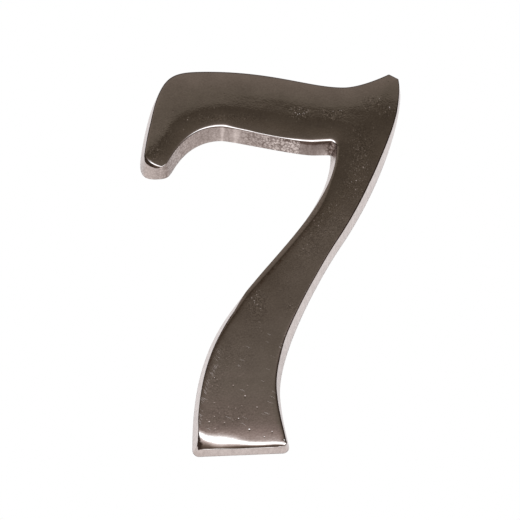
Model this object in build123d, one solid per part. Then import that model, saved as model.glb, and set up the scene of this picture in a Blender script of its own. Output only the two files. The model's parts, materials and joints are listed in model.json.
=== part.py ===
from build123d import *
import math
import os

# House numeral 7: one solid casting with a polished face, drafted walls and a flat back.
# Sizes are in millimetres and angles in degrees. The numeral is drawn lying on its back,
# x along the bar and y up the numeral, both from its lowest left corner, then stood upright.

# Overall size
height = 76.2
width = 50.95
thickness = 3.5
draft = 12.5
face_edge_radius = 0.3

# Foot: its end wall, its two corners and the waist above it
foot_left = 7.15
foot_width = 15.6
foot_corner = 1.1
waist_height = 9.55
waist_inset = 0.73

# Foot end of the face, rolled over by the polishing, further at the left than at the right
roll_drop = 1.3
roll_angle = 48.0
roll_length_left = 4.0
roll_length_right = 2.0

# Bar, with heights measured down from its crest
crest_across = 13.0
dip_drop = 3.87
dip_from_right = 11.83
shoulder_drop = 6.41
shoulder_across = 2.72
arch_drop = 14.8
arch_across = 15.13
underside_drop = 18.28
underside_flat = 3.2

# Tip, where the left end of the bar hangs down
tip_side_drop = 20.13
tip_drop = 23.24
tip_across = 2.69
flank_drop = 19.12
flank_across = 7.41

# Serif, the blunt cut at the right end of the bar, and its two corners
serif_drop = 0.65
serif_from_right = 2.55
serif_end_drop = 2.4
serif_corner = 0.7

# Neck, the inside corner where the bar meets the stem
neck_from_right = 15.45

# Fixings: two tapped blind holes in the back, one above the other, for M3 studs
fixing_across = 12.5
lower_fixing_height = 8.5
upper_fixing_drop = 7.7
tap_drill_radius = 1.25
fixing_depth = 2.4

# Slopes of the outline where its curves meet, anticlockwise from x
foot_left_slope = 88.0
foot_right_slope = 97.0
waist_slope = 90.0
stem_left_slope = 51.7
stem_right_slope = 54.2
neck_slope = 84.5
serif_side_slope = 90.2
serif_top_slope = 28.0
shoulder_slope = 70.6
flank_slope = 54.0

# Where each long edge of the stem turns, as shares of the way across and up
left_turn = (0.339, 0.488)
right_turn = (0.437, 0.511)

# How far each curve holds its slope at its start and its end, as shares of its chord
corner_pulls = (0.38, 0.38)
foot_right_pulls = (0.45, 0.42)
stem_right_lower_pulls = (0.27, 0.14)
stem_right_upper_pulls = (0.49, 0.1)
serif_top_pulls = (0.29, 0.28)
dip_pulls = (0.24, 0.49)
crest_pulls = (0.45, 0.54)
shoulder_pulls = (0.31, 0.13)
tip_outer_pulls = (0.53, 0.5)
tip_inner_pulls = (0.51, 0.63)
arch_rise_pulls = (0.35, 0.37)
arch_fall_pulls = (0.11, 0.19)
stem_left_upper_pulls = (0.31, 0.32)
stem_left_lower_pulls = (0.23, 0.53)
roll_face_pull = 0.6
roll_crease_pull = 0.5

# How far the cut that makes the foot's roll runs past the metal
clear = 1.0


def heading(angle):
    """Unit vector at an angle in the drawing plane."""
    return Vector(math.cos(math.radians(angle)), math.sin(math.radians(angle)))


def meeting(first, first_slope, second, second_slope):
    """Point where two straight lines cross, each given by a point and a slope."""
    one = heading(first_slope)
    other = heading(second_slope)
    gap = second - first
    along = (gap.X * other.Y - gap.Y * other.X) / (one.X * other.Y - one.Y * other.X)
    return first + one * along


def curve(start, start_angle, end, end_angle, pulls):
    """Smooth curve between two points, leaving and arriving at the given slopes."""
    start_pull, end_pull = pulls
    chord = (end - start).length
    leaving = start + heading(start_angle) * chord * start_pull
    arriving = end - heading(end_angle) * chord * end_pull
    return Bezier(start, leaving, arriving, end)


def between(start, end, shares):
    """Point part of the way from start to end, by shares across and up."""
    across, up = shares
    return Vector(start.X + (end.X - start.X) * across, start.Y + (end.Y - start.Y) * up)


def outline(inset):
    """Outline of the numeral, anticlockwise from the foot, drawn in by the draft's inset."""
    foot_right = foot_left + foot_width
    foot_start = Vector(foot_left, 0)
    foot_end = Vector(foot_right, 0)
    neck = Vector(width - neck_from_right, height - underside_drop)
    serif_top = Vector(width - serif_from_right, height - serif_drop)
    serif_end = Vector(width, height - serif_end_drop)
    cut = serif_end - serif_top
    cut_slope = math.degrees(math.atan2(cut.Y, cut.X))

    def place(point, slope):
        """A point of the outline, moved in square to its slope."""
        return point + heading(slope + 90) * inset

    base_left = place(foot_start + Vector(foot_corner, 0), 0)
    base_right = place(foot_end - Vector(foot_corner, 0), 0)
    right_foot = place(foot_end + Vector(0, foot_corner), foot_right_slope)
    waist = place(Vector(foot_right - waist_inset, waist_height), waist_slope)
    right = place(between(foot_end, serif_end, right_turn), stem_right_slope)
    below_end = place(serif_end - heading(serif_side_slope) * serif_corner, serif_side_slope)
    above_end = place(serif_end - heading(cut_slope) * serif_corner, cut_slope + 180)
    after_top = place(serif_top + heading(cut_slope) * serif_corner, cut_slope + 180)
    before_top = place(serif_top - heading(serif_top_slope) * serif_corner, serif_top_slope + 180)
    dip = place(Vector(width - dip_from_right, height - dip_drop), 180)
    crest = place(Vector(crest_across, height), 180)
    shoulder = place(Vector(shoulder_across, height - shoulder_drop), shoulder_slope + 180)
    tip_side = place(Vector(0, height - tip_side_drop), 270)
    tip = place(Vector(tip_across, height - tip_drop), 0)
    flank = place(Vector(flank_across, height - flank_drop), flank_slope)
    arch = place(Vector(arch_across, height - arch_drop), 0)
    underside = place(neck - Vector(underside_flat, 0), 0)
    inner = meeting(underside, 0, place(neck, neck_slope + 180), neck_slope)
    left = place(between(foot_start, neck, left_turn), stem_left_slope + 180)
    left_foot = place(foot_start + Vector(0, foot_corner), foot_left_slope + 180)

    foot_left_down = foot_left_slope + 180
    stem_left_down = stem_left_slope + 180
    serif_back = serif_top_slope + 180
    shoulder_down = shoulder_slope + 180
    cut_back = cut_slope + 180

    return [
        Line(base_left, base_right),
        curve(base_right, 0, right_foot, foot_right_slope, corner_pulls),
        curve(right_foot, foot_right_slope, waist, waist_slope, foot_right_pulls),
        curve(waist, waist_slope, right, stem_right_slope, stem_right_lower_pulls),
        curve(right, stem_right_slope, below_end, serif_side_slope, stem_right_upper_pulls),
        curve(below_end, serif_side_slope, above_end, cut_back, corner_pulls),
        Line(above_end, after_top),
        curve(after_top, cut_back, before_top, serif_back, corner_pulls),
        curve(before_top, serif_back, dip, 180, serif_top_pulls),
        curve(dip, 180, crest, 180, dip_pulls),
        curve(crest, 180, shoulder, shoulder_down, crest_pulls),
        curve(shoulder, shoulder_down, tip_side, 270, shoulder_pulls),
        curve(tip_side, 270, tip, 0, tip_outer_pulls),
        curve(tip, 0, flank, flank_slope, tip_inner_pulls),
        curve(flank, flank_slope, arch, 0, arch_rise_pulls),
        curve(arch, 0, underside, 0, arch_fall_pulls),
        Line(underside, inner),
        curve(inner, neck_slope + 180, left, stem_left_down, stem_left_upper_pulls),
        curve(left, stem_left_down, left_foot, foot_left_down, stem_left_lower_pulls),
        curve(left_foot, foot_left_down, base_left, 0, corner_pulls),
    ]


def foot_roll(across, length):
    """Section of what the polishing takes off the foot, at one place across it."""
    crease_height = thickness - roll_drop
    crease_in = crease_height * math.tan(math.radians(draft))
    fall = math.tan(math.radians(roll_angle))
    reach = length - crease_in
    top = Vector(across, length, thickness)
    crease = Vector(across, crease_in, crease_height)
    beyond = Vector(across, -clear, crease_height - fall * (crease_in + clear))
    above = Vector(across, -clear, thickness + clear)
    over = Vector(across, length, thickness + clear)
    lean = roll_drop / fall * roll_crease_pull
    rolled = Bezier(
        top,
        Vector(across, length - reach * roll_face_pull, thickness),
        Vector(across, crease_in + lean, crease_height + lean * fall),
        crease,
    )
    return make_face([
        rolled,
        Line(crease, beyond),
        Line(beyond, above),
        Line(above, over),
        Line(over, top),
    ])


def casting():
    """Numeral with drafted walls, a softened face edge and its rolled foot."""
    inset = thickness * math.tan(math.radians(draft))
    front = Pos(0, 0, thickness) * make_face(outline(inset))
    walls = loft([make_face(outline(0)), front], ruled=True)
    face = walls.faces().sort_by(Axis.Z)[-1]
    softened = fillet(face.edges(), face_edge_radius)
    roll = loft([
        foot_roll(foot_left - clear, roll_length_left),
        foot_roll(foot_left + foot_width + clear, roll_length_right),
    ], ruled=True)
    return softened - roll


def fixing(across, up):
    """Tapped blind hole at its tapping drill size, sunk from the back."""
    standing = (Align.CENTER, Align.CENTER, Align.MIN)
    bore = Cylinder(tap_drill_radius, fixing_depth, align=standing)
    return Pos(across, up, 0) * bore


def numeral():
    """The whole numeral, upright, with the mouth of the lower fixing as its origin."""
    lying = casting()
    lying -= fixing(fixing_across, lower_fixing_height)
    lying -= fixing(fixing_across, height - upper_fixing_drop)
    return Rot(90, 0, 0) * Pos(-fixing_across, -lower_fixing_height, 0) * lying


os.makedirs("parts", exist_ok=True)
export_step(numeral(), "parts/numeral.step")
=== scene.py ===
import json
import math

import bmesh
import bpy
import numpy as np
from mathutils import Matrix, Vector


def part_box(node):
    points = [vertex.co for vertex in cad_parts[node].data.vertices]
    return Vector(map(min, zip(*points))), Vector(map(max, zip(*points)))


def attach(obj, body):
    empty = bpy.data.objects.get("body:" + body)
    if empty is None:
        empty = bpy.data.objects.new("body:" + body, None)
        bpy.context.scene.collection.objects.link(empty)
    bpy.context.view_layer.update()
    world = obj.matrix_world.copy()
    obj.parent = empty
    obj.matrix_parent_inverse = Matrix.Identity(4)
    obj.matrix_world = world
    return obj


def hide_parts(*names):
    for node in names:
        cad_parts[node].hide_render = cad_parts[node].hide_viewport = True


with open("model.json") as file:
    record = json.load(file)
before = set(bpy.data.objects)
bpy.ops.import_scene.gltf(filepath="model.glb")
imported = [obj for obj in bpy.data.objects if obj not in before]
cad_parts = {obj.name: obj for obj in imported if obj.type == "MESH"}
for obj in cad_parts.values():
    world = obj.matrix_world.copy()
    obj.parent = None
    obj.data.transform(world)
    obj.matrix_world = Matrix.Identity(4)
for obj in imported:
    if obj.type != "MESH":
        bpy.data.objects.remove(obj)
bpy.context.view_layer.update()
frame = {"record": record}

# House numeral 7 in cast aluminium: a polished, slightly crowned face, drafted side walls
# as they left the mould and were fettled, and a flat linished back with two tapped holes.
# Sizes are in millimetres and angles in degrees until a mesh is scaled to metres.

MM = 0.001

# From the solid's box: its thickness, and its drawing's lowest left corner as seen from the
# mouth of the lower fixing
solid_low = [round(side / MM, 2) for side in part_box("numeral")[0]]
thickness = -solid_low[1]
drawing_at = (solid_low[0], solid_low[2])

# Walls: their draft, the arris round the back, and how far up each row of points is, as a
# share. The burr that the fettling left along the edge of the face, drawn as a line of painted
# shade, is above the shade row
draft = 12.5
arris = 0.1
wall_rows = (0.0, 0.04, 0.2, 0.4, 0.6, 0.8, 0.93, 1.0)
crease_shade_row = 0.9

# Face: how far its edge stands out. Its crown rises from the edges above the foot's corners,
# at a slope that depends on how far up the numeral it is, and flattens further in
edge_drop = 0.3
face_depth = thickness - edge_drop
crown_slopes = ((12, -0.0263), (22, 0.0355), (50, 0.0355), (60, 0.0675))
crown_reach = 5.6
crown_starts = 1.1

# Low swells and hollows that the hand polishing left: across, up, half width, half height, rise
swells = (
    (1, 56, 4, 4, 0.17),
    (10, 62, 5, 5, 0.092),
    (30, 62, 6, 6, -0.03),
    (36, 72, 6, 5, -0.023),
    (43, 63, 5, 5, -0.057),
    (50, 62, 5, 6, 0.2475),
    (50, 74, 5, 5, 0.1145),
    (37, 54, 6, 6, 0.041),
    (30, 44, 6, 7, 0.054),
    (24, 34, 6, 7, -0.186),
    (17, 24, 6, 7, -0.077),
    (13, 14, 6, 6, 0.094),
)

# How sharply the face turns from one edge's roll to the next, and how crisply a bevel ends.
# The least square keeps a distance to the edge from being nothing on the edge itself
edge_power = 8
bevel_crispness = 18
least_square = 1e-5
places_at_once = 400

# The height of the edge of the face and its place depend on each other: rounds to settle both
crease_rounds = 6

# Rings of points round the face: how far in they are. They draw together where it is narrow:
# each point tries steps in, is blocked where another side is nearer than a share of the step,
# keeps a share of the last free step, and goes little further than its neighbours
ring_reaches = (0.06, 0.13, 0.22, 0.34, 0.5, 0.7, 0.9, 1.15)
reach_steps = 10
reach_clear = 0.93
reach_kept = 0.8
reach_least = 0.02
reach_change = 0.04
reach_rounds = 6

# Grid that the middle of the face is cut into, and how near a cut a point counts as on it
grid_step = 0.45
on_the_cut = 1e-4

# Foot end of the face, rolled over by the polishing: across, its length, its depth and how
# gradual it is, from a sharp bend above a facet at the left to a soft roll. A softer fall
# goes further in
foot_rolls = (
    (7.6, 4.6, 1.46, 1.35),
    (7.85, 3.9, 1.31, 1.4),
    (8.16, 3.2, 1.14, 1.45),
    (8.5, 2.9, 0.99, 1.55),
    (9.0, 2.75, 0.84, 1.8),
    (9.6, 2.65, 0.71, 2.1),
    (10.5, 2.8, 0.56, 2.4),
    (11.5, 2.9, 0.487, 2.5),
    (13.0, 2.55, 0.479, 2.5),
    (14.6, 1.75, 0.364, 2.5),
    (16.2, 1.25, 0.25, 2.5),
    (17.7, 1.1, 0.202, 2.5),
    (20.3, 1.05, 0.193, 2.5),
    (20.9, 0.85, 0.156, 2.5),
)
foot_roll_end = 0.1
foot_fall_length = 4.5
foot_fall_steepness = 0.06

# Facet rubbed on the lower left corner of the tip: it falls away outside a circle, and its
# inner edge is rounded by an amount that depends on how far across it is
tip_facet_centre = (4.91, 57.93)
tip_facet_radius = 4.49
tip_facet_slope = 0.75
tip_facet_rounds = ((0.9, 0.09), (3.4, 0.06))
tip_facet_box = ((0.3, 52.9), (4.0, 56.6))
tip_grid_step = 0.12

# Casting pits in the face: across, up, radius, and their depth as a share of it
pits = (
    (6.3, 65.9, 0.2, 0.12), (13.7, 71.7, 0.16, 0.08), (9.1, 64.5, 0.2, 0.05),
    (8.1, 61.7, 0.18, 0.1), (3.2, 57.2, 0.2, 0.1), (2.5, 57.8, 0.16, 0.06), (8.9, 63.9, 0.16, 0.16),
    (28.5, 66.7, 0.2, 0.05), (29.2, 65.7, 0.22, 0.05), (30.1, 66.8, 0.18, 0.1),
    (30.5, 65, 0.2, 0.08), (28.7, 64.6, 0.16, 0.05), (35.2, 65, 0.2, 0.06),
    (36.1, 64.3, 0.22, 0.08), (36.8, 65.2, 0.16, 0.08), (42.4, 67.1, 0.2, 0.06),
    (43.4, 68, 0.22, 0.05), (44.4, 68.5, 0.2, 0.08), (45.3, 67.4, 0.22, 0.06),
    (47.3, 66.5, 0.2, 0.24), (45.2, 65.1, 0.2, 0.08), (46.4, 65.6, 0.18, 0.08),
    (40, 55.5, 0.18, 0.06), (40.6, 52.9, 0.2, 0.16), (39.8, 52.3, 0.18, 0.08),
    (38.6, 48.1, 0.2, 0.14), (39, 50, 0.16, 0.08), (36.2, 46.6, 0.18, 0.05),
    (30.4, 41.7, 0.18, 0.13), (31.1, 40.6, 0.2, 0.14), (18.2, 27.4, 0.2, 0.14),
    (19.3, 26.8, 0.18, 0.1), (24.8, 24.3, 0.16, 0.12), (15.9, 8.8, 0.2, 0.1),
    (14.1, 10.7, 0.18, 0.08), (11.5, 10.8, 0.18, 0.05), (17.7, 6.8, 0.18, 0.08),
    (13.1, 7, 0.16, 0.05), (20.2, 8.8, 0.2, 0.16), (14.6, 5, 0.17, 0.11), (12.3, 4.4, 0.15, 0.07),
    (16.2, 3.1, 0.2, 0.11), (19.8, 2.6, 0.16, 0.07), (9.9, 4.6, 0.18, 0.08),
    (18.5, 1.8, 0.14, 0.08), (27.9, 36, 0.16, 0.1),
)

# Grid at a pit: its cuts across the radius, how far past the radius it goes, and how much of a
# step of the face's own grid round it is cut too
pit_cuts = 4
pit_margin = 1.1
pit_surround = 0.6

# Fixings: tapped holes, at the places, drill size and depth that the frame gives. They are
# threaded M3
fixings = [mount for mount in frame["record"]["mounts"] if mount["kind"] == "threaded_hole"]
fixing_places = [(mount["pos_m"][0] / MM, mount["pos_m"][2] / MM) for mount in fixings]
fixing_depth = fixings[0]["dims"]["length_mm"]
thread_minor = fixings[0]["dims"]["r_mm"]
thread_major = 1.5
thread_pitch = 0.5
thread_sides = 40
thread_step = thread_pitch / 8
drill_tip_radius = 0.4

# The hole's chamfered mouth, over what depth the thread starts below it, how far from the
# bottom it ends, and over what depth it runs out
mouth_radius = thread_major + 0.15
mouth_depth = 0.25
thread_lead_in = 0.1
thread_end = 0.35
thread_run_out = 0.3

# Nodes of the outline at the wall, anticlockwise from the foot: across, up, the direction it
# runs there, and how far it holds that direction before and after, as shares of the chord
CORNER = 0.38
outline_nodes = (
    (8.25, 0.0, 0, CORNER, 0.33),
    (21.65, 0.0, 0, 0.33, CORNER),
    (22.75, 1.1, 97, CORNER, 0.45),
    (22.02, 9.55, 90, 0.42, 0.27),
    (35.0734, 37.7118, 54.2, 0.14, 0.49),
    (50.9524, 73.1, 90.2, 0.1, CORNER),
    (50.3728, 74.1961, 145.54, CORNER, 0.33),
    (48.9772, 75.1539, 145.54, 0.33, CORNER),
    (47.7819, 75.2214, 208, CORNER, 0.29),
    (39.12, 72.33, 180, 0.28, 0.24),
    (13.0, 76.2, 180, 0.49, 0.45),
    (2.72, 69.79, 250.6, 0.54, 0.31),
    (0.0, 56.07, 270, 0.13, 0.53),
    (2.69, 52.96, 0, 0.5, 0.51),
    (7.41, 57.08, 54, 0.63, 0.35),
    (15.13, 61.4, 0, 0.37, 0.11),
    (32.3, 57.92, 0, 0.19, 0.33),
    (35.2, 57.92, 0, 0.33, CORNER),
    (35.472, 57.63, 264.5, CORNER, 0.31),
    (16.7607, 28.265, 231.7, 0.32, 0.23),
    (7.15, 1.1, 268, 0.53, CORNER),
)

# Edge of the face along the outline, by node number and part of the way to the next: the
# width and the steepness of its roll, how far the roll is a flat bevel, the draft as a share
edge_rolls = (
    (0.0, 0.08, 0.4, 0.0, 1.0),
    (0.05, 0.08, 0.4, 0.0, 0.8),
    (0.12, 0.1, 0.4, 0.0, 0.56),
    (0.24, 0.12, 0.4, 0.0, 0.42),
    (0.45, 0.18, 0.6, 0.0, 0.24),
    (0.7, 0.18, 0.7, 0.0, 0.2),
    (0.9, 0.18, 0.8, 0.0, 0.28),
    (1.0, 0.1, 0.6, 0.0, 0.35),
    (1.3, 0.15, 0.6, 0.0, 0.7),
    (1.6, 0.2, 0.6, 0.0, 1.0),
    (2.0, 0.3, 0.6, 0.0, 1.15),
    (3.0, 0.4, 0.5, 0.0, 1.3),
    (3.18, 0.35, 0.5, 0.0, 1.41),
    (3.3, 0.25, 0.5, 0.0, 1.6),
    (3.45, 0.15, 0.6, 0.5, 1.36),
    (3.67, 0.15, 0.6, 1.0, 1.13),
    (4.0, 0.2, 0.6, 1.0, 1.06),
    (4.25, 0.22, 0.6, 1.0, 1.37),
    (4.38, 0.22, 0.6, 1.0, 1.29),
    (4.56, 0.2, 0.6, 1.0, 0.87),
    (4.65, 0.18, 0.6, 1.0, 0.8),
    (4.83, 0.12, 0.6, 1.0, 1.11),
    (5.0, 0.1, 0.6, 1.0, 1.3),
    (6.0, 0.06, 1.0, 0.0, 1.1),
    (8.0, 0.08, 1.0, 0.0, 1.0),
    (9.0, 0.10, 1.0, 0.0, 1.0),
    (10.0, 0.10, 1.0, 0.0, 1.0),
    (11.0, 0.12, 1.0, 0.0, 1.25),
    (11.4, 0.12, 1.0, 0.0, 1.39),
    (12.0, 0.12, 1.0, 0.0, 1.08),
    (12.2, 0.04, 1.0, 0.0, 1.2),
    (12.4, 0.04, 1.0, 0.0, 1.5),
    (12.55, 0.03, 1.0, 0.0, 1.58),
    (12.72, 0.03, 1.0, 0.0, 1.5),
    (12.91, 0.03, 1.0, 0.0, 1.15),
    (13.04, 0.03, 1.0, 0.0, 0.68),
    (13.12, 0.03, 1.0, 0.0, 0.68),
    (13.26, 0.04, 1.0, 0.0, 1.0),
    (13.6, 0.05, 1.0, 0.0, 1.15),
    (13.8, 0.06, 1.0, 0.0, 1.15),
    (14.2, 0.1, 1.0, 0.0, 1.27),
    (14.6, 0.14, 1.0, 0.0, 1.55),
    (14.9, 0.23, 0.9, 0.0, 1.55),
    (15.1, 0.25, 0.9, 0.0, 1.5),
    (15.2, 0.14, 1.0, 0.0, 1.42),
    (15.35, 0.11, 1.0, 0.0, 1.33),
    (15.42, 0.05, 1.0, 0.0, 1.28),
    (15.55, 0.05, 1.0, 0.0, 1.2),
    (15.65, 0.1, 1.0, 0.0, 1.15),
    (15.8, 0.22, 1.0, 0.0, 1.15),
    (16.0, 0.26, 1.0, 0.0, 1.35),
    (17.0, 0.26, 1.0, 0.0, 1.6),
    (18.0, 0.16, 1.0, 0.0, 1.05),
    (18.1, 0.16, 0.6, 0.0, 1.0),
    (18.22, 0.28, 0.3, 0.5, 0.98),
    (18.4, 0.9, 0.175, 1.0, 0.97),
    (18.75, 0.85, 0.17, 1.0, 0.98),
    (19.0, 0.7, 0.165, 1.0, 1.0),
    (19.2, 0.3, 0.4, 0.3, 1.6),
    (19.4, 0.15, 0.8, 0.0, 1.5),
    (19.7, 0.12, 0.8, 0.0, 1.15),
    (19.9, 0.1, 0.6, 0.0, 1.05),
    (20.0, 0.1, 0.6, 0.0, 1.4),
    (20.33, 0.08, 0.6, 0.0, 1.55),
    (20.5, 0.08, 0.6, 0.0, 1.42),
    (20.61, 0.08, 0.6, 0.0, 1.2),
    (20.7, 0.08, 0.6, 0.0, 0.87),
    (20.83, 0.08, 0.6, 0.0, 0.98),
    (21.0, 0.08, 0.4, 0.0, 1.03),
)

# Looks of the wall, by the same places: its tone and how gritty it is. The tone is partly
# the skin's own and partly painted light: painted highlights in two streaks on the arch's
# wall, a darker patch under the bar, and painted shade in the inner corner
wall_looks_and_light = (
    (0.0, 0.95, 0.2),
    (0.3, 1.0, 0.2),
    (3.0, 0.7, 0.2),
    (3.15, 0.75, 0.2),
    (3.3, 0.93, 0.2),
    (5.0, 0.95, 0.2),
    (11.0, 0.95, 0.2),
    (11.8, 0.85, 0.3),
    (12.2, 0.72, 0.3),
    (12.5, 0.9, 0.3),
    (12.9, 0.9, 0.3),
    (13.1, 0.75, 0.4),
    (13.4, 0.46, 0.4),
    (13.7, 0.44, 0.4),
    (14.0, 0.56, 0.5),
    (14.7, 0.6, 0.3),
    (14.9, 0.7, 0.3),
    (14.98, 0.8, 0.3),
    # Painted highlights: two light streaks on the arch's wall
    (15.03, 1.4, 0.3),
    (15.07, 0.75, 0.3),
    (15.18, 0.75, 0.3),
    (15.22, 1.25, 0.4),
    (15.28, 0.7, 0.4),
    (15.35, 0.6, 0.6),
    (15.45, 0.6, 0.7),
    (15.6, 0.85, 1.2),
    (15.7, 0.95, 1.4),
    (15.79, 1.05, 1.3),
    (15.815, 0.36, 0.2),
    (16.0, 0.32, 0.1),
    (16.5, 0.56, 0.1),
    (16.8, 0.8, 0.4),
    # Painted shade in the inner corner under the bar
    (17.1, 0.2, 0.8),
    (18.0, 0.5, 0.4),
    (18.08, 0.85, 0.3),
    (18.25, 0.9, 0.3),
    (18.38, 0.5, 0.3),
    (18.6, 0.4, 0.2),
    (19.0, 0.85, 0.2),
    (19.3, 0.92, 0.2),
    (20.0, 0.92, 0.2),
    (21.0, 0.95, 0.2),
)

# Tone at which the wall is lightest
lightest_tone = 1.355

# Dark line on the wall along the edge of the face, by the same places: a burr that the
# fettling left, its darkness painted shade
crease_shade_lines = (
    (0.0, 0.0), (15.5, 0.0), (15.65, 0.45), (15.85, 0.5), (17.0, 0.5), (17.06, 0.0), (21.0, 0.0),
)

# Dark brown band on the face beside its edge, alike: how far in its middle is, and its
# strength. It fades over its spread on either side
edge_dark_bands = (
    (0.0, 0.3, 0.0), (18.2, 1.0, 0.0), (18.4, 1.1, 0.35), (18.7, 1.15, 0.55), (18.95, 1.0, 0.6),
    (19.1, 0.7, 0.45), (19.3, 0.35, 0.55), (19.6, 0.3, 0.6), (19.8, 0.3, 0.3), (20.0, 0.3, 0.0),
    (21.0, 0.3, 0.0),
)
dark_band_spread = 0.33

# Where the polished face is finely pitted: across, up, half width, half height, strength
pitted_patches = (
    (29.4, 65.8, 1.2, 0.7, 1.9), (30.7, 64.9, 0.8, 0.7, 1.6), (33.2, 66.0, 2.0, 0.3, 0.9),
    (36.0, 65.0, 1.2, 0.6, 1.9), (37.8, 65.7, 0.9, 0.4, 1.3), (44.4, 68.1, 1.6, 0.8, 1.1),
    (46.4, 65.4, 1.2, 1.5, 0.6), (42.9, 66.4, 0.8, 0.8, 0.5), (41.2, 59.0, 2.2, 3.0, 0.6),
    (40.2, 53.4, 1.8, 3.0, 0.7), (38.3, 48.4, 1.8, 2.5, 0.7), (33.4, 42.6, 3.0, 3.5, 0.8),
    (29.0, 37.4, 2.5, 3.5, 0.6), (18.4, 27.1, 1.1, 0.9, 0.8), (19.6, 25.7, 0.8, 1.2, 0.5),
    (24.9, 24.4, 0.8, 0.9, 0.8), (24.2, 31.0, 3.0, 3.5, 0.35), (4.4, 60.5, 1.6, 2.0, 0.5),
    (2.8, 56.3, 1.2, 1.1, 0.9), (14.0, 16.9, 3.0, 3.0, 0.4), (13.0, 5.4, 4.0, 1.2, 0.5),
    (10.8, 11.7, 1.2, 2.5, 0.5), (18.7, 24.2, 1.6, 2.5, 0.6), (12.4, 64.3, 3.0, 0.8, 0.6),
    (18.8, 64.2, 3.0, 0.8, 0.6),
)

# Rub marks along the lower left edge of the stem, given alike
rub_marks = (
    (12.2, 17.0, 0.5, 0.8, 0.8), (11.7, 15.6, 0.5, 0.8, 1.0), (11.2, 14.3, 0.45, 0.8, 1.0),
    (10.6, 12.8, 0.35, 0.8, 0.9), (9.9, 11.3, 0.3, 0.8, 0.9), (9.4, 9.8, 0.3, 0.8, 1.0),
    (9.0, 8.3, 0.25, 0.8, 1.0), (8.7, 6.8, 0.25, 0.8, 1.0), (8.5, 5.3, 0.22, 0.8, 0.9),
    (8.3, 4.0, 0.2, 0.7, 0.8),
)

# Spacing of the points along the outline and how many a part between nodes has at least: on
# the mesh, and where the distance to the edge is measured
point_spacing = 0.3
least_points = 9
fine_spacing = 0.07
least_fine_points = 16

# Traits of a place along the outline, by their columns
ROLL, DRAFT, LOOKS, DARK_BAND = slice(0, 3), 3, slice(4, 7), slice(7, 9)

# Finishes, by their slots in the mesh
FACE, WALL, BACK, THREAD = range(4)

# Short scratches show below one height above the lower fixing, and are fullest below another
scratches_from = 35
scratches_full = 15

# Ranges of a noise that give a soft and a steep contrast
soft_noise = (0.3, 0.7)
steep_noise = (0.34, 0.66)

# Colour sockets of a Mix node
MIX_A, MIX_B, MIX_RESULT = 6, 7, 2

# Tones that polished metal shows of the studio, by the angle up from the front: negative
# below, past 90 behind the part. The last value is how many times brighter the light is
front_tones = (
    (-110, "c8bcb6", 1.0),
    (-84, "a09088", 1.0),
    (-62, "3c3029", 1.0),
    (-34, "57483f", 1.0),
    (-27, "7b6b62", 1.0),
    (-20, "b3a29b", 1.0),
    (-14, "e2d4cf", 1.0),
    (-9, "ffffff", 1.6),
    (3, "ffffff", 1.6),
    (6.5, "ffffff", 1.0),
    (8, "f5efec", 1.0),
    (10, "d5cbc7", 1.0),
    (12, "baaca7", 1.0),
    (16, "907f78", 1.0),
    (17.5, "807069", 1.0),
    (19, "73655e", 1.0),
    (20.6, "695c54", 1.0),
    (22, "61574e", 1.0),
    (26, "584e45", 1.0),
    (30, "51473e", 1.0),
    (32, "4a4036", 1.0),
    (34, "433a31", 1.0),
    (37.3, "3d342b", 1.0),
    (37.7, "554c42", 1.0),
    (46, "675b52", 1.0),
    (52, "625850", 1.0),
    (60, "403732", 1.0),
    (92, "2a221d", 1.0),
    (102, "c4b8b4", 1.0),
    (130, "d4ccc8", 1.0),
)

# The same at the sides, where the light at the front doesn't reach. Sideways, as a share
# of straight aside, the one gives way to the other
side_tones = (
    (-110, "c8bcb6", 1.0),
    (-84, "a09088", 1.0),
    (-62, "3a2d26", 1.0),
    (92, "2a221d", 1.0),
    (102, "c4b8b4", 1.0),
    (130, "d4ccc8", 1.0),
)
side_starts = 0.38
side_ends = 0.64

# Colour of the metal, which the tones are divided by
metal_tone = "d6d0cb"

# Floor below the part
floor_size = 3000
floor_drop = 150
floor_tone = "f2f2f0"
floor_glow = 0.4

# Camera, fitted to the photograph: its focal length and picture in pixels, place and turns
focal_length = 1100
picture_width = 520
sensor_width = 36.0
camera_place = (-13.765, -167.31, -67.685)
camera_turns = (119.4602, 4.2221, -5.0631)


def heading(angle):
    """Unit vector at an angle in the drawing plane."""
    return np.array((math.cos(math.radians(angle)), math.sin(math.radians(angle))))


def outline(spacing, least):
    """Points along the outline at the wall, the directions into the metal, and their traits."""
    points, inward, places = [], [], []
    for number, start in enumerate(outline_nodes):
        end = outline_nodes[(number + 1) % len(outline_nodes)]
        first, last = np.array(start[:2]), np.array(end[:2])
        chord = np.linalg.norm(last - first)
        leaving = first + heading(start[2]) * chord * start[4]
        arriving = last - heading(end[2]) * chord * end[3]
        count = max(least, round(chord / spacing))
        for step in range(count):
            gone = step / count
            left = 1 - gone
            points.append(
                left**3 * first + 3 * left**2 * gone * leaving
                + 3 * left * gone**2 * arriving + gone**3 * last
            )
            run = left**2 * (leaving - first) + 2 * left * gone * (arriving - leaving)
            run += gone**2 * (last - arriving)
            run /= np.linalg.norm(run)
            inward.append((-run[1], run[0]))
            places.append(number + gone)
    tables = [np.array(table).T for table in (edge_rolls, wall_looks_and_light, crease_shade_lines, edge_dark_bands)]
    traits = [np.interp(places, table[0], column) for table in tables for column in table[1:]]
    return np.array(points) + drawing_at, np.array(inward), np.array(traits).T


def up_the_wall(loop, inward, traits, height):
    """Where the outline runs at a height up the wall, drawn in by its draft."""
    slopes = math.tan(math.radians(draft)) * traits[:, DRAFT]
    return loop + inward * (height * slopes)[:, None]


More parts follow.
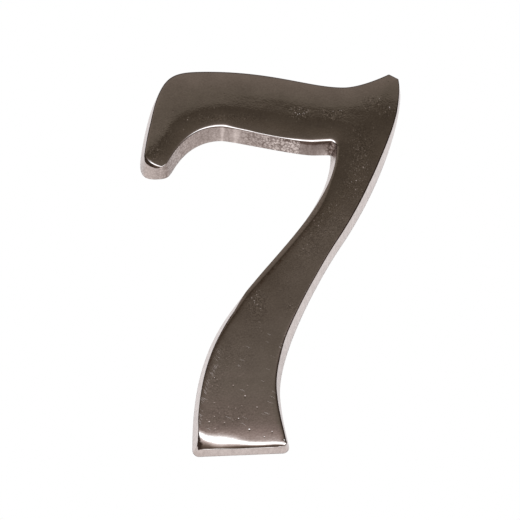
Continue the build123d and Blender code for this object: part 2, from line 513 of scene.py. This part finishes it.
def nearness(places, loop, traits, crowned):
    """Smoothed distances to a loop and to its crowned part, and the traits of what is near."""
    runs = np.roll(loop, -1, 0) - loop
    middles = loop + runs / 2
    lengths = np.hypot(*runs.T)
    whole = math.sqrt(math.pi) * math.gamma((edge_power - 1) / 2) / math.gamma(edge_power / 2)
    pulls, crowned_pulls, near = [], [], []
    for some in np.array_split(places, 1 + len(places) // places_at_once):
        across, up = [some[:, k:k + 1] - middles[:, k] for k in range(2)]
        squares = across**2 + up**2 + least_square
        pull = lengths * np.exp(-edge_power / 2 * np.log(squares))
        pulls.append(pull.sum(1))
        crowned_pulls.append(pull[:, crowned].sum(1))
        near.append(pull @ traits / pulls[-1][:, None])
    distances, inside = [
        (np.concatenate(sums) / whole) ** (-1 / (edge_power - 1)) for sums in (pulls, crowned_pulls)
    ]
    return distances, inside, np.concatenate(near)


def patches(table, drawn):
    """Sum of soft patches in the drawing: across, up, half width, half height, strength."""
    total = np.zeros(len(drawn))
    for across, up, wide, high, strength in table:
        far = ((drawn[:, 0] - across) / wide) ** 2 + ((drawn[:, 1] - up) / high) ** 2
        total += strength * np.exp(-far / 2)
    return total


def polishing(places):
    """What the polishing takes off the face at the foot and the tip, less the swells it leaves."""
    drawn = places - drawing_at
    across, *columns = np.array(foot_rolls).T
    length, depth, power = [np.interp(drawn[:, 0], across, column) for column in columns]
    above = drawn[:, 1] - foot_roll_end
    fall = np.clip(1 - above / foot_fall_length, 0, 1) ** 2
    taken = depth * np.clip(1 - above / length, 0, 1) ** power
    taken = taken + foot_fall_steepness * foot_fall_length / 2 * fall
    past = np.hypot(*(drawn - tip_facet_centre).T) - tip_facet_radius
    rounding = np.interp(drawn[:, 0], *np.array(tip_facet_rounds).T)
    facet = np.logaddexp(0, past / rounding) * rounding * tip_facet_slope
    by_tip = (drawn < tip_facet_centre).all(1)
    return taken + np.where(by_tip, facet, 0) - patches(swells, drawn)


def dents(places):
    """Depth of the casting pits in the face."""
    deep = np.zeros(len(places))
    for across, up, radius, depth in pits:
        share = ((places - drawing_at - (across, up)) ** 2).sum(1) / radius**2
        deep += depth * radius * np.clip(1 - share, 0, 1) ** 2
    return deep


def face_height(places, distances, inside, traits):
    """How far the face stands out from the wall; its crown follows the distance inside."""
    width, steep, flat = traits.T[ROLL]
    share = distances / width
    bevel = np.logaddexp(0, (1 - share) * bevel_crispness) / bevel_crispness
    roll = width * steep * (np.exp(-share) * (1 - flat) + bevel * flat)
    within = np.minimum(inside, crown_reach)
    up, slopes = np.array(crown_slopes).T
    slope = np.interp(places[:, 1] - drawing_at[1], up, slopes)
    crown = slope * (within - within**2 / (2 * crown_reach))
    return face_depth + crown - roll - polishing(places)


def crease_of(loop, inward, traits):
    """Height of the edge between wall and face at each point of the outline, and where it runs."""
    at_edge = np.zeros(len(loop))
    height = np.full(len(loop), face_depth)
    for _ in range(crease_rounds):
        edge = up_the_wall(loop, inward, traits, height)
        height = face_height(edge, at_edge, at_edge, traits)
    return height, up_the_wall(loop, inward, traits, height)


def inner_reach(places, inward):
    """How far each point of the face's edge may move in before another side is as near."""
    furthest = ring_reaches[-1]
    limit = np.full(len(places), furthest)
    for step in range(reach_steps):
        tried = furthest * (step + 1) / reach_steps
        kept = furthest * step / reach_steps * reach_kept + reach_least
        moved = places + inward * tried
        gap = np.array([np.hypot(*(places - one).T).min() for one in moved])
        blocked = gap < tried * reach_clear
        limit[blocked] = np.minimum(limit[blocked], kept)
    for _ in range(reach_rounds):
        beside = (np.roll(limit, 1) + np.roll(limit, -1)) / 2
        limit = np.minimum(limit, beside + reach_change)
    return limit


def upright(places, depths):
    """Points of the drawing plane, set at depths out from the wall."""
    return [Vector((x, -d, z)) for (x, z), d in zip(places, np.broadcast_to(depths, len(places)))]


def edges_round(bm, ring):
    """Edges of a closed ring of points."""
    return [bm.edges.get(pair) for pair in zip(ring, ring[1:] + ring[:1])]


def new_ring(bm, places):
    """Closed ring of new points, with its edges."""
    ring = [bm.verts.new(place) for place in places]
    for pair in zip(ring, ring[1:] + ring[:1]):
        bm.edges.new(pair)
    return ring


def grow(bm, ring, places):
    """Extrudes a closed ring of points to new places, and gives the new ring in the same order."""
    made = bmesh.ops.extrude_edge_only(bm, edges=edges_round(bm, ring))["geom"]
    old = set(ring)
    partner = {}
    for vert in made:
        if isinstance(vert, bmesh.types.BMVert):
            for edge in vert.link_edges:
                other = edge.other_vert(vert)
                if other in old:
                    partner[other] = vert
    grown = [partner[vert] for vert in ring]
    for vert, place in zip(grown, places):
        vert.co = place
    return grown


def mark(bm, name, verts, values):
    """Keeps a value at points of the mesh, for a material to read."""
    layer = bm.verts.layers.float[name]
    for vert, value in zip(verts, values):
        vert[layer] = value


def middles_of(faces):
    """Middles of faces in the drawing plane."""
    return np.array([face.calc_center_median() for face in faces])[:, ::2]


def gridded(bm, faces, low, high, spacing):
    """Faces of the drawing plane cut into a grid between two of its corners."""
    for square, start, end in zip(((1, 0, 0), (0, 0, 1)), low, high):
        for at in np.arange(start + spacing / 2, end, spacing):
            geom = set(faces)
            for face in faces:
                geom.update(face.edges)
                geom.update(face.verts)
            place = [at * side for side in square]
            cut = bmesh.ops.bisect_plane(
                bm, geom=list(geom), dist=on_the_cut, plane_co=place, plane_no=square
            )["geom"]
            faces = [made for made in cut if isinstance(made, bmesh.types.BMFace)]
    return faces


def drafted_walls(bm, loop, inward, traits, crease):
    """Walls from the back to the edge of the face. Gives their rings of points."""
    rings = [new_ring(bm, upright(loop + inward * arris, 0))]
    for row in wall_rows[1:]:
        depth = crease * row
        places = upright(up_the_wall(loop, inward, traits, depth), depth)
        rings.append(grow(bm, rings[-1], places))
    # The tone carries painted highlights on the arch's wall and painted shade in the inner corner
    tone, grit, crease_shade = traits.T[LOOKS]
    for row, ring in zip(wall_rows, rings):
        # Rows above the shade row are darkened by the painted shade line along the face's edge
        mark(bm, "wall_tone_and_light", ring, tone - crease_shade * (row > crease_shade_row))
        mark(bm, "wall_grit", ring, grit)
    return rings


def flat_face(bm, ring, edge_loop, inward):
    """Face inside the ring at its edge, still flat: rings of points, and one face in the middle."""
    reach = inner_reach(edge_loop, inward)
    for step in ring_reaches:
        moved = edge_loop + inward * (reach * step / ring_reaches[-1])[:, None]
        ring = grow(bm, ring, upright(moved, face_depth))
    return bmesh.ops.contextual_create(bm, geom=edges_round(bm, ring))["faces"]


def cut_for_detail(bm, walls, middle, low, high):
    """The middle of the face cut into a grid, a finer one at the tip's facet, and at the pits."""
    middle = gridded(bm, middle, low, high, grid_step)
    low, high = np.array(tip_facet_box) + drawing_at
    face = [part for part in bm.faces if part not in walls]
    middles = middles_of(face)
    by_tip = ((low < middles) & (middles < high)).all(1)
    gridded(bm, [face[k] for k in np.flatnonzero(by_tip)], low, high, tip_grid_step)
    middles = middles_of(middle)
    for across, up, radius, _ in pits:
        centre = np.array((across, up)) + drawing_at
        close = np.abs(middles - centre).max(1) < radius + grid_step * pit_surround
        beside = [middle[k] for k in np.flatnonzero(close)]
        low, high = centre - radius * pit_margin, centre + radius * pit_margin
        cut = gridded(bm, beside, low, high, radius / pit_cuts)
        fresh = [part for part in cut if part not in beside]
        middle += fresh
        middles = np.vstack([middles, middles_of(fresh)])


def raise_face(bm, flat):
    """Raises the points of the flat face to its crown, rolls and pits, and marks its finish."""
    fine, inward, traits = outline(fine_spacing, least_fine_points)
    edge = crease_of(fine, inward, traits)[1]
    crowned = fine[:, 1] - drawing_at[1] > crown_starts
    places = np.array([(vert.co.x, vert.co.z) for vert in flat])
    distances, inside, near = nearness(places, edge, traits, crowned)
    heights = face_height(places, distances, inside, near) - dents(places)
    for vert, height in zip(flat, heights):
        vert.co.y = -min(height, thickness)
    # Dark brown band on the face beside its edge
    band_at, strength = near.T[DARK_BAND]
    dark_bands = strength * np.exp(-((distances - band_at) / dark_band_spread) ** 2 / 2)
    mark(bm, "rubbed", flat, patches(rub_marks, places - drawing_at))
    mark(bm, "pitted", flat, patches(pitted_patches, places - drawing_at))
    mark(bm, "dark_banded", flat, dark_bands)


def casting():
    """The numeral's mesh, with its face, walls and back."""
    bm = bmesh.new()
    for name in ("rubbed", "pitted", "dark_banded", "wall_tone_and_light", "wall_grit"):
        bm.verts.layers.float.new(name)
    loop, inward, traits = outline(point_spacing, least_points)
    crease, edge_loop = crease_of(loop, inward, traits)
    rings = drafted_walls(bm, loop, inward, traits, crease)
    walls = set(bm.faces)
    middle = flat_face(bm, rings[-1], edge_loop, inward)
    cut_for_detail(bm, walls, middle, loop.min(0), loop.max(0))
    below = {vert for ring in rings[:-1] for vert in ring}
    raise_face(bm, [vert for vert in bm.verts if vert not in below])
    for vert, height in zip(rings[-1], crease):
        vert.co.y = -height

    for edge in bm.edges:
        edge.smooth = len({face in walls for face in edge.link_faces}) < 2
    for face in bm.faces:
        face.material_index = WALL if face in walls else FACE
        face.smooth = True
    back(bm, rings[0])
    bmesh.ops.recalc_face_normals(bm, faces=bm.faces)
    bmesh.ops.scale(bm, vec=(MM, MM, MM), verts=bm.verts)
    return bm


def back(bm, rim):
    """Flat back inside the rim, with its two tapped holes."""
    known = set(bm.faces)
    mouths = [tapped_hole(bm, place) for place in fixing_places]
    threads = set(bm.faces) - known
    edges = [edge for ring in (rim, *mouths) for edge in edges_round(bm, ring)]
    made = bmesh.ops.triangle_fill(bm, edges=edges, use_beauty=True)["geom"]
    for face in made:
        if isinstance(face, bmesh.types.BMFace):
            face.material_index = BACK
            face.smooth = False
    for face in threads:
        face.material_index = THREAD
        face.smooth = True
    for edge in edges:
        edge.smooth = False


def thread_radii(turns, depth):
    """Radius of a tapped hole round its turn, at a depth: its mouth, its thread and its end."""
    wave = np.abs((depth / thread_pitch - turns) % 1 * 2 - 1)
    groove = (thread_major - thread_minor) * (1 - wave)
    run_out = np.clip((fixing_depth - thread_end - depth) / thread_run_out, 0, 1)
    lead_in = np.clip((depth - mouth_depth) / thread_lead_in, 0, 1)
    mouth = max(mouth_radius - depth, thread_minor)
    return mouth * (1 - lead_in) + (thread_minor + groove * run_out) * lead_in


def tapped_hole(bm, centre):
    """Wall of an M3 thread cut into the back, and the drill's cone. Gives the ring at its mouth."""
    turns = np.arange(thread_sides) / thread_sides
    ways = np.array([np.cos(turns * math.tau), np.sin(turns * math.tau)]).T

    def ring_places(radii, depth):
        return upright(centre + ways * np.broadcast_to(radii, thread_sides)[:, None], depth)

    mouth = ring = new_ring(bm, ring_places(mouth_radius, 0))
    for depth in np.arange(thread_step, fixing_depth, thread_step):
        ring = grow(bm, ring, ring_places(thread_radii(turns, depth), depth))
    tip = grow(bm, ring, ring_places(drill_tip_radius, fixing_depth))
    bmesh.ops.contextual_create(bm, geom=edges_round(bm, tip))
    return mouth


def colour(code):
    """Linear colour from an sRGB hex value."""
    parts = [int(code[k:k + 2], 16) / 255 for k in (0, 2, 4)]
    return [c / 12.92 if c <= 0.04045 else ((c + 0.055) / 1.055) ** 2.4 for c in parts] + [1.0]


def feed(node, inputs):
    """Feeds a node's sockets, in order or by name, with values or with other nodes' outputs."""
    pairs = inputs.items() if isinstance(inputs, dict) else enumerate(inputs)
    for socket, source in pairs:
        if isinstance(source, bpy.types.NodeSocket):
            node.id_data.links.new(source, node.inputs[socket])
        else:
            node.inputs[socket].default_value = source


def add(tree, kind, inputs=(), **settings):
    """Adds a node with its settings and what feeds its sockets, and gives its outputs."""
    node = tree.nodes.new("ShaderNode" + kind)
    for name, value in settings.items():
        setattr(node, name, value)
    feed(node, inputs)
    return node.outputs


def new_material(name):
    """Material with an empty tree but for its shader."""
    material = bpy.data.materials.new(name)
    material.use_nodes = True
    return material, material.node_tree, material.node_tree.nodes["Principled BSDF"]


def pattern(tree, kind, size, turned=0.0, **sockets):
    """Texture of a kind whose features have a size in millimetres, turned in the face's plane."""
    place = add(tree, "TexCoord")["Object"]
    spread = add(tree, "Mapping", {
        "Vector": place,
        "Scale": [length * MM for length in size],
        "Rotation": (0, math.radians(turned), 0),
    }, vector_type="TEXTURE")[0]
    return add(tree, kind, {"Vector": spread, "Scale": 1.0, **sockets})


def joined(tree, operation, *values):
    """Values joined one after the other by an operation."""
    total = values[0]
    for value in values[1:]:
        total = add(tree, "Math", (total, value), operation=operation)[0]
    return total


def relief(tree, *heights):
    """Normal of a surface with several reliefs: each a pattern and its depth in millimetres."""
    normal = None
    for height, depth in heights:
        inputs = {"Height": height, "Distance": depth * MM}
        if normal:
            inputs["Normal"] = normal
        normal = add(tree, "Bump", inputs)[0]
    return normal


def short_scratches(tree):
    """Where the face has its short scratches, low on the numeral alone."""
    place = add(tree, "TexCoord")["Object"]
    up = add(tree, "SeparateXYZ", (place,))["Z"]
    low = add(tree, "MapRange", (up, scratches_from * MM, scratches_full * MM))[0]
    dashes = pattern(tree, "TexVoronoi", (2.4, 2.4, 0.42), 28.0)
    draw = add(tree, "SeparateColor", (dashes["Color"],))[0]
    few = add(tree, "MapRange", (draw, 0.7, 0.76))[0]
    thin = add(tree, "MapRange", (dashes["Distance"], 0.28, 0.16))[0]
    return joined(tree, "MULTIPLY", thin, few, low)


def pinholes(tree):
    """Where the face has its pinholes, which are few and all over it."""
    holes = pattern(tree, "TexVoronoi", (1.1, 1.1, 1.1), 17.0)
    draw = add(tree, "SeparateColor", (holes["Color"],))[0]
    few = add(tree, "MapRange", (draw, 0.72, 0.74))[0]
    point = add(tree, "MapRange", (holes["Distance"], 0.15, 0.05))[0]
    return joined(tree, "MULTIPLY", point, few)


def specks_of(tree, pitting):
    """Where the pitted patches have their specks: more of them where the pitting is stronger."""
    specks = pattern(tree, "TexVoronoi", (0.42, 0.42, 0.42))
    draw = add(tree, "SeparateColor", (specks["Color"],))[0]
    more = add(tree, "MapRange", (pitting, 0, 1, 0, 0.5))[0]
    few = add(tree, "MapRange", (joined(tree, "ADD", draw, more), 0.95, 1.0))[0]
    point = add(tree, "MapRange", (specks["Distance"], 0.36, 0.14))[0]
    return joined(tree, "MULTIPLY", pitting, point, few)


# Hand-polished cast aluminium: a mirror with a faint haze, slightly uneven, so reflections
# have soft ragged edges. Fine pinholes glint and short scratches and rub marks look lighter.
# The buff's own grain is too fine to show, so it is drawn as coarse as 0.3 mm
def polished():
    material, tree, shader = new_material("polished_cast_aluminium")
    uneven = pattern(tree, "TexNoise", (1.0, 1.0, 1.0), Detail=2.0)[0]
    grain = pattern(tree, "TexNoise", (0.32, 0.32, 0.32), Detail=2.0)[0]
    brushed = pattern(tree, "TexNoise", (5.0, 5.0, 0.3), 2.0, Detail=2.0)[0]
    cloudy = pattern(tree, "TexNoise", (4.0, 4.0, 4.0), Detail=2.0)[0]
    fine = pattern(tree, "TexNoise", (0.22, 0.22, 0.22), Detail=2.0)[0]
    scratches = pattern(tree, "TexNoise", (1.4, 1.4, 0.24), 52.0, Detail=2.0)[0]
    dash = short_scratches(tree)
    hole = pinholes(tree)

    rub = add(tree, "Attribute", attribute_name="rubbed")["Fac"]
    worn = joined(tree, "MULTIPLY", rub, add(tree, "MapRange", (scratches, 0.48, 0.64))[0])
    pitting = add(tree, "Attribute", attribute_name="pitted")["Fac"]
    speck = specks_of(tree, pitting)
    patchy = add(tree, "MapRange", (fine, *steep_noise, -0.6, 0.6))[0]
    mottle = joined(tree, "MULTIPLY", pitting, patchy)

    # The face is darker and browner in the band beside its edge, broken up by the grain
    dark_band = add(tree, "Attribute", attribute_name="dark_banded")["Fac"]
    broken = add(tree, "MapRange", (grain, *soft_noise, 0.1, 1.6))[0]
    dark_band = joined(tree, "MULTIPLY", dark_band, broken)
    shade = joined(
        tree, "ADD",
        add(tree, "MapRange", (grain, *soft_noise, 0.12, 0.38))[0],
        add(tree, "MapRange", (cloudy, *soft_noise, 0.14, 0.36))[0],
        mottle,
    )
    clean = add(tree, "Mix", {
        0: shade, MIX_A: colour("b3aca7"), MIX_B: colour("f4eeea"),
    }, data_type="RGBA")[MIX_RESULT]
    dull = add(tree, "Mix", {
        0: dark_band, MIX_A: clean, MIX_B: colour("8c7466"),
    }, data_type="RGBA")[MIX_RESULT]

    rough = joined(
        tree, "ADD",
        add(tree, "MapRange", (grain, *soft_noise, 0.03, 0.07))[0],
        add(tree, "MapRange", (dash, 0, 1, 0, 0.2))[0],
        add(tree, "MapRange", (hole, 0, 1, 0, 0.12))[0],
        add(tree, "MapRange", (worn, 0, 1, 0, 0.24))[0],
        add(tree, "MapRange", (speck, 0, 2, 0, 0.44))[0],
    )
    sunk_hole = add(tree, "MapRange", (hole, 0, 1, 1, 0))[0]
    sunk_speck = add(tree, "MapRange", (speck, 0, 2, 1, 0))[0]
    normal = relief(
        tree, (uneven, 0.005), (grain, 0.004), (brushed, 0.0003),
        (sunk_hole, 0.006), (sunk_speck, 0.026),
    )
    feed(shader, {"Base Color": dull, "Roughness": rough, "Normal": normal, "Metallic": 1.0})
    return material


# Fettled casting skin: satin and pinkish grey, streaked from the face to the back by the file,
# and gritty in runs under the bar. It is light all round but for darker runs under the bar and
# painted shade in the inner corner and along the edge of the face, and it carries two painted
# highlights on the arch's wall
def fettled():
    material, tree, shader = new_material("fettled_casting_skin")
    # The tone carries painted highlights on the arch's wall and painted shade in the inner corner
    # and along the face's edge
    tone = add(tree, "Attribute", attribute_name="wall_tone_and_light")["Fac"]
    grit = add(tree, "Attribute", attribute_name="wall_grit")["Fac"]
    streaks = pattern(tree, "TexNoise", (0.5, 4.0, 0.5), Detail=2.0)[0]
    scales = pattern(tree, "TexVoronoi", (0.45, 0.45, 0.45))[0]
    fine = pattern(tree, "TexNoise", (0.2, 0.2, 0.2), Detail=2.0)[0]
    flakes = joined(
        tree, "ADD",
        add(tree, "MapRange", (scales, 0.25, 0.65, 0.35, -0.35))[0],
        add(tree, "MapRange", (fine, *steep_noise, -0.3, 0.3))[0],
    )
    speckle = joined(tree, "MULTIPLY", grit, flakes)
    streaky = add(tree, "MapRange", (streaks, *soft_noise, -0.1, 0.1))[0]
    share = joined(tree, "ADD", tone, streaky, speckle)
    light = add(tree, "MapRange", (share, 0, lightest_tone))[0]
    skin = add(tree, "Mix", {
        0: light, MIX_A: colour("6b5b54"), MIX_B: colour("f2eae6"),
    }, data_type="RGBA")[MIX_RESULT]
    rough = add(tree, "MapRange", (fine, *soft_noise, 0.26, 0.34))[0]
    bumps = joined(tree, "MULTIPLY", grit, scales)
    normal = relief(tree, (streaks, 0.01), (fine, 0.006), (bumps, 0.05))
    feed(shader, {"Base Color": skin, "Roughness": rough, "Normal": normal, "Metallic": 1.0})
    return material


# Back linished flat on a belt: straight scratches across it. They are finer than can show,
# so they are drawn 0.12 mm apart
def linished():
    material, tree, shader = new_material("linished_aluminium")
    belt = pattern(tree, "TexNoise", (9.0, 9.0, 0.12), Detail=3.0)[0]
    share = add(tree, "MapRange", (belt, *soft_noise))[0]
    metal = add(tree, "Mix", {
        0: share, MIX_A: colour("bdb8b3"), MIX_B: colour("d2cdc9"),
    }, data_type="RGBA")[MIX_RESULT]
    rough = add(tree, "MapRange", (belt, *soft_noise, 0.3, 0.46))[0]
    normal = relief(tree, (belt, 0.006))
    feed(shader, {"Base Color": metal, "Roughness": rough, "Normal": normal, "Metallic": 1.0})
    return material


# Freshly tapped aluminium: bright and smooth
def tapped():
    material, tree, shader = new_material("tapped_aluminium")
    feed(shader, {"Base Color": colour("d2cec9"), "Roughness": 0.3, "Metallic": 1.0})
    return material


def tone_ramp(tree, turn, tones):
    """Ramp over the studio's tones by an angle in degrees."""
    low, high = tones[0][0], tones[-1][0]
    share = add(tree, "MapRange", (turn, low, high))[0]
    shown = add(tree, "ValToRGB", (share,))[0]
    stops = shown.node.color_ramp.elements
    stops.remove(stops[1])
    metal = colour(metal_tone)
    for degrees, code, times in tones:
        place = (degrees - low) / (high - low)
        stop = stops.new(place) if place else stops[0]
        stop.position = place
        stop.color = [c * times / m for c, m in zip(colour(code)[:3], metal)] + [1.0]
    return shown


def studio():
    """Soft studio light: its brightness by the angle up from the front, all round the part."""
    world = bpy.data.worlds.new("studio")
    bpy.context.scene.world = world
    world.use_nodes = True
    tree = world.node_tree
    tree.nodes.clear()
    seen = add(tree, "TexCoord")["Generated"]
    axes = add(tree, "SeparateXYZ", (seen,))
    front = add(tree, "Math", (axes["Y"], -1.0), operation="MULTIPLY")[0]
    angle = add(tree, "Math", (axes["Z"], front), operation="ARCTAN2")[0]
    turn = add(tree, "Math", (angle,), operation="DEGREES")[0]
    aside = add(tree, "Math", (axes["X"],), operation="ABSOLUTE")[0]
    side = add(
        tree, "MapRange", (aside, side_starts, side_ends), interpolation_type="SMOOTHSTEP"
    )[0]
    tone = add(tree, "Mix", {
        0: side,
        MIX_A: tone_ramp(tree, turn, front_tones),
        MIX_B: tone_ramp(tree, turn, side_tones),
    }, data_type="RGBA")[MIX_RESULT]
    lit = add(tree, "Background", {"Color": tone})[0]
    plain = add(tree, "Background", {"Color": colour("ffffff")})[0]
    camera = add(tree, "LightPath")["Is Camera Ray"]
    both = add(tree, "MixShader", (camera, lit, plain))[0]
    add(tree, "OutputWorld", {"Surface": both})


def pale_floor():
    """Floor below the part. It glows a little, to stay pale, and the metal doesn't mirror it."""
    bm = bmesh.new()
    bmesh.ops.create_grid(bm, x_segments=1, y_segments=1, size=floor_size / 2 * MM)
    bmesh.ops.translate(bm, verts=bm.verts, vec=(0, 0, -floor_drop * MM))
    floor_mesh = bpy.data.meshes.new("floor")
    bm.to_mesh(floor_mesh)
    material, _, shader = new_material("pale_floor")
    feed(shader, {
        "Base Color": colour(floor_tone),
        "Roughness": 0.8,
        "Emission Color": colour(floor_tone),
        "Emission Strength": floor_glow,
    })
    floor_mesh.materials.append(material)
    floor = bpy.data.objects.new("floor", floor_mesh)
    floor.visible_glossy = False
    bpy.context.scene.collection.objects.link(floor)
    return floor


def photographs_camera():
    """Camera that sees the part as the photograph does."""
    lens = bpy.data.cameras.new("camera")
    lens.sensor_width = sensor_width
    lens.lens = focal_length / picture_width * sensor_width
    camera = bpy.data.objects.new("camera", lens)
    camera.location = [side * MM for side in camera_place]
    camera.rotation_euler = [math.radians(turn) for turn in camera_turns]
    bpy.context.scene.collection.objects.link(camera)
    bpy.context.scene.camera = camera


mesh = bpy.data.meshes.new("numeral_casting")
casting().to_mesh(mesh)
for finish in (polished, fettled, linished, tapped):
    mesh.materials.append(finish())
piece = bpy.data.objects.new("numeral_casting", mesh)
bpy.context.scene.collection.objects.link(piece)
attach(piece, "root")
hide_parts("numeral")

floor = pale_floor()
studio()
bpy.context.scene.view_settings.view_transform = "Standard"
photographs_camera()
